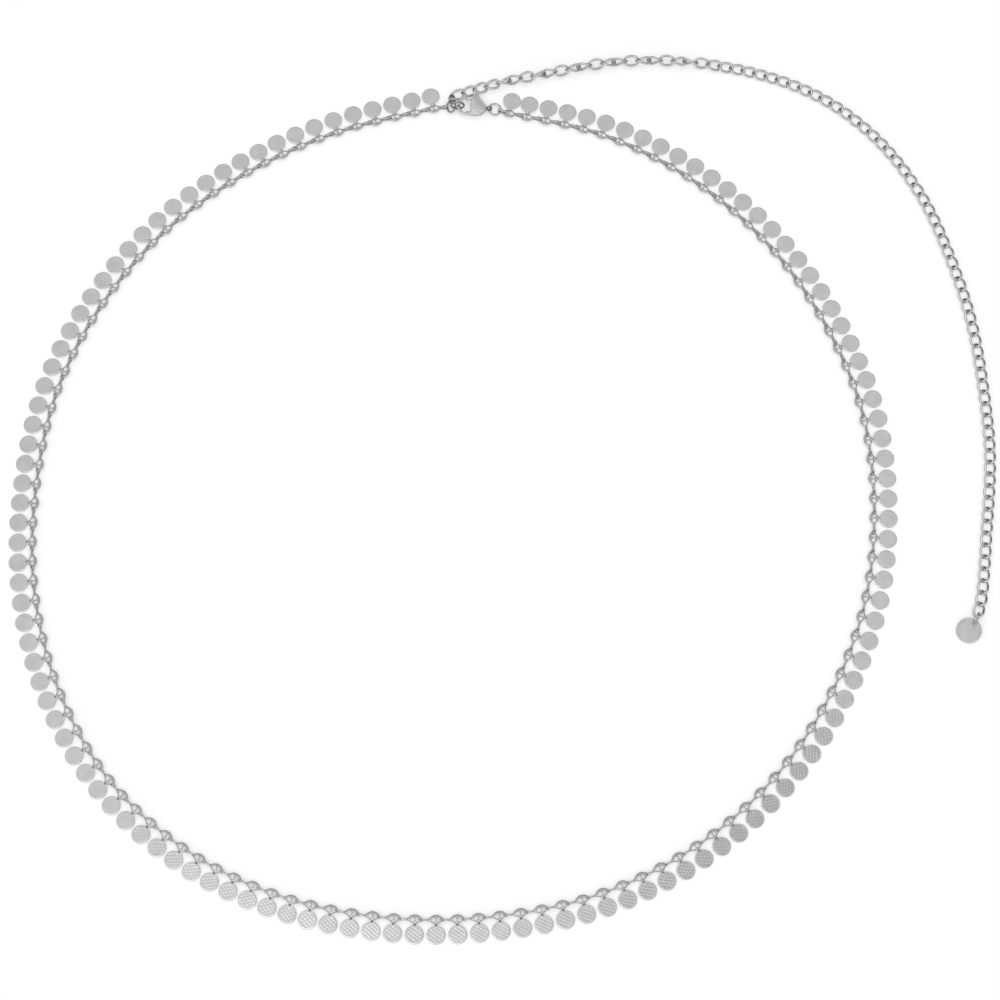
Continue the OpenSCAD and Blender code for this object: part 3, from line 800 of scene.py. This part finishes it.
swivel = extruded(
    [circle_outline(0, 0, SWIVEL_D, SWIVEL_STEPS), circle_outline(0, 0, SWIVEL_HOLE_D, SWIVEL_HOLE_STEPS)],
    SWIVEL_T, SWIVEL_EDGE, rounds=3,
)
swivel_root = extruded(
    [rounded([(-1.4, -0.3), (-0.6, -0.3), (-0.6, 0.7), (-1.4, 0.7)], 2, 0.15)],
    SWIVEL_T - SWIVEL_ROOT_THINNER, SWIVEL_ROOT_EDGE, rounds=2,
)
swivel = swivel.plus(swivel_root).moved(Matrix.Translation(SWIVEL_AT) @ turn(x=90))
clasp = hook_shape.plus(
    cheek.moved(Matrix.Translation((0, 0, cheek_z))), cheek.moved(Matrix.Translation((0, 0, -cheek_z))),
    wall, pin,
)
piece("clasp_body_piece", clasp.moved(clasp_frame), CLASP_STEEL, "chain", "clasp_steel", "clasp_body")
# The swivel is drawn in the darker steel: painted shade
piece("clasp_swivel_piece", swivel.moved(clasp_frame), RING_SHADE_STEEL, "chain", "clasp_steel", "clasp_body")
# Painted highlight: a small stud painted near white on the upper cheek. It ends in the upper cheek, so the lever
# swings clear of it
stud = extruded([circle_outline(*STUD_AT, STUD_D, STUD_STEPS)], cheek_t, STUD_EDGE, rounds=3)
stud = stud.moved(Matrix.Translation((0, 0, (BODY_T - cheek_t) / 2 + STUD_PROUD)))
piece("clasp_highlight_stud_piece", stud.moved(clasp_frame), STUD_HIGHLIGHT_STEEL, "chain", "clasp_steel", "clasp_body")

arm_y = HOOK_OPEN / 2 - LEVER_GAP - ARM_W
lever_outline = rounded([
    (0, arm_y), (1.9, arm_y), (2.3, -1), (4.2, -1.4), (5.2, -1), (5.2, 0.7), (3.9, 2.6), (3.1, 4.9),
    (2.8, 5.25), (2.4, 5.1), (2, arm_y + ARM_W), (0, arm_y + ARM_W),
], 2, 0.14)
lever_hole = circle_outline(*PIVOT, PIN_D + 2 * LEVER_GAP, PIN_STEPS)
lever = extruded([lever_outline, lever_hole], LEVER_T, LEVER_EDGE, rounds=3)
piece("clasp_lever_piece", lever.moved(clasp_frame), CLASP_STEEL, "lever", "clasp_steel", "clasp_lever")

# ---- Tag and its ring ----
TAG_STEPS, TAG_HOLE_STEPS, TAG_EDGE = 96, 32, 0.1
tag = extruded(
    [circle_outline(0, 0, TAG_D, TAG_STEPS), circle_outline(tag_reach, 0, TAG_HOLE_D, TAG_HOLE_STEPS)],
    TAG_T, TAG_EDGE, rounds=2,
)
tag = tag.moved(
    place(TAG_AT, TAG_D / 2 * sind(TAG_LEAN) + TAG_T / 2 * cosd(TAG_LEAN)) @ turn(z=TAG_TURN) @ turn(y=-TAG_LEAN)
)
piece("end_tag_piece", tag, TAG_STEEL, "chain", "tag_steel", "end_tag", flat_over=0.3)
tag_ring_z = (TAG_RING_D * sind(TAG_RING_TIP) + RING_WIRE) / 2
ring = wire_ring(TAG_RING_D, TAG_RING_D).moved(
    place(from_tag(tag_ring_off), tag_ring_z) @ turn(x=TAG_RING_TIP, z=TAG_TURN + TAG_RING_YAW)
)
piece("tag_ring_piece", ring, WIRE_STEEL, "chain", "wire_steel", "tag_ring")

# ---- Floor, light and background ----
FLOOR_HALF, FLOOR_GREY, FLOOR_GLOW, FLOOR_ROUGHNESS = 6.0, 0.54, 0.353, 0.9
floor_mesh = bpy.data.meshes.new("floor")
corners = [(x * FLOOR_HALF, y * FLOOR_HALF, 0) for x, y in ((-1, -1), (1, -1), (1, 1), (-1, 1))]
floor_mesh.from_pydata(corners, [], [(0, 1, 2, 3)])
floor_material = bpy.data.materials.new("floor_white")
floor_material.use_nodes = True
floor_shader = floor_material.node_tree.nodes["Principled BSDF"]
floor_shader.inputs["Base Color"].default_value = (FLOOR_GREY, FLOOR_GREY, FLOOR_GREY, 1)
floor_shader.inputs["Emission Color"].default_value = (1, 1, 1, 1)
floor_shader.inputs["Emission Strength"].default_value = FLOOR_GLOW
floor_shader.inputs["Roughness"].default_value = FLOOR_ROUGHNESS
floor_mesh.materials.append(floor_material)
floor = bpy.data.objects.new("floor", floor_mesh)
bpy.context.scene.collection.objects.link(floor)

# The steel mirrors the sky. It is brightest a little to the lower left of the zenith and dimmer towards the
# horizon, and a darker gap crosses it a little to the upper right of the zenith. The tables have places along a
# direction and the grey there: the sky's own, the gap's, how far the gap counts, and the sky's share by height.
SKY_ALONG, GAP_ALONG, UP = (-0.22, -0.41, 1.0), (-0.3, -0.3, 1.0), (0.0, 0.0, 1.0)
SKY_LEVELS = (
    (-0.9, 0.06), (0.0, 0.08), (0.12, 0.2), (0.25, 0.5), (0.4, 0.88), (0.6, 1.0), (0.7, 1.05), (0.85, 1.09),
    (1.0, 1.1), (1.036, 1.12), (1.055, 1.5), (1.08, 2.0), (1.103, 2.4),
)
GAP_LEVELS = ((0.0, 1.0), (0.865, 1.0), (0.885, 0.62), (0.9, 0.5), (0.92, 0.5), (0.94, 0.78), (0.955, 1.0))
GAP_HEIGHTS = ((0.0, 0.0), (0.86, 0.12), (0.92, 0.35), (0.96, 1.0))
HEIGHT_LEVELS = ((0.0, 0.4), (0.2, 0.5), (0.45, 0.85), (0.6, 1.0))
SKY_FROM, SKY_TO, SKY_PEAK = -0.9, 1.15, 2.5

world = bpy.data.worlds.new("studio")
bpy.context.scene.world = world
world.use_nodes = True
wn, wl = world.node_tree.nodes, world.node_tree.links
background = wn["Background"]
view = wn.new("ShaderNodeTexCoord")


def along(direction, low, high):
    """Node value of the view direction along a vector, from low to high as 0 to 1."""
    dot = wn.new("ShaderNodeVectorMath")
    dot.operation = "DOT_PRODUCT"
    dot.inputs[1].default_value = direction
    wl.new(view.outputs["Generated"], dot.inputs[0])
    scaled = wn.new("ShaderNodeMapRange")
    scaled.inputs["From Min"].default_value = low
    scaled.inputs["From Max"].default_value = high
    wl.new(dot.outputs["Value"], scaled.inputs["Value"])
    return scaled.outputs["Result"]


def grey_ramp(table, value):
    """Grey of a table of positions and levels, read at a node value."""
    node = wn.new("ShaderNodeValToRGB")
    elements = node.color_ramp.elements
    for (position, grey), old in zip(table, (elements[0], elements[1])):
        old.position, old.color = position, (grey, grey, grey, 1)
    for position, grey in table[2:]:
        elements.new(position).color = (grey, grey, grey, 1)
    wl.new(value, node.inputs["Fac"])
    return node.outputs["Color"]


def times(a, b, factor=None):
    """Product of two colours, where b counts only as far as factor says."""
    mix = wn.new("ShaderNodeMix")
    mix.data_type = "RGBA"
    mix.blend_type = "MULTIPLY"
    mix.inputs["Factor"].default_value = 1.0
    if factor:
        wl.new(factor, mix.inputs["Factor"])
    wl.new(a, mix.inputs[MIX_A])
    wl.new(b, mix.inputs[MIX_B])
    return mix.outputs[MIX_RESULT]


height = along(UP, 0.0, 1.0)
sky_table = [((q - SKY_FROM) / (SKY_TO - SKY_FROM), v / SKY_PEAK) for q, v in SKY_LEVELS]
sky = grey_ramp(sky_table, along(SKY_ALONG, SKY_FROM, SKY_TO))
sky = times(sky, grey_ramp(HEIGHT_LEVELS, height))
sky = times(sky, grey_ramp(GAP_LEVELS, along(GAP_ALONG, 0.0, 1.0)), grey_ramp(GAP_HEIGHTS, height))
wl.new(sky, background.inputs["Color"])
background.inputs["Strength"].default_value = SKY_PEAK

# Lamp overhead, kept out of the reflections
LAMP_AT, LAMP_SIDE, LAMP_RADIANCE = (0.0, 0.0, 1.5), 2.4, 0.62
lamp_data = bpy.data.lights.new("overhead", "AREA")
lamp_data.shape = "RECTANGLE"
lamp_data.size = lamp_data.size_y = LAMP_SIDE
lamp_data.energy = LAMP_RADIANCE * math.pi * LAMP_SIDE * LAMP_SIDE
lamp = bpy.data.objects.new("overhead", lamp_data)
lamp.location = LAMP_AT
lamp.visible_glossy = False
bpy.context.scene.collection.objects.link(lamp)

scene = bpy.context.scene
scene.view_settings.view_transform = "Standard"
scene.view_settings.look = "None"
scene.view_settings.exposure = 0.0
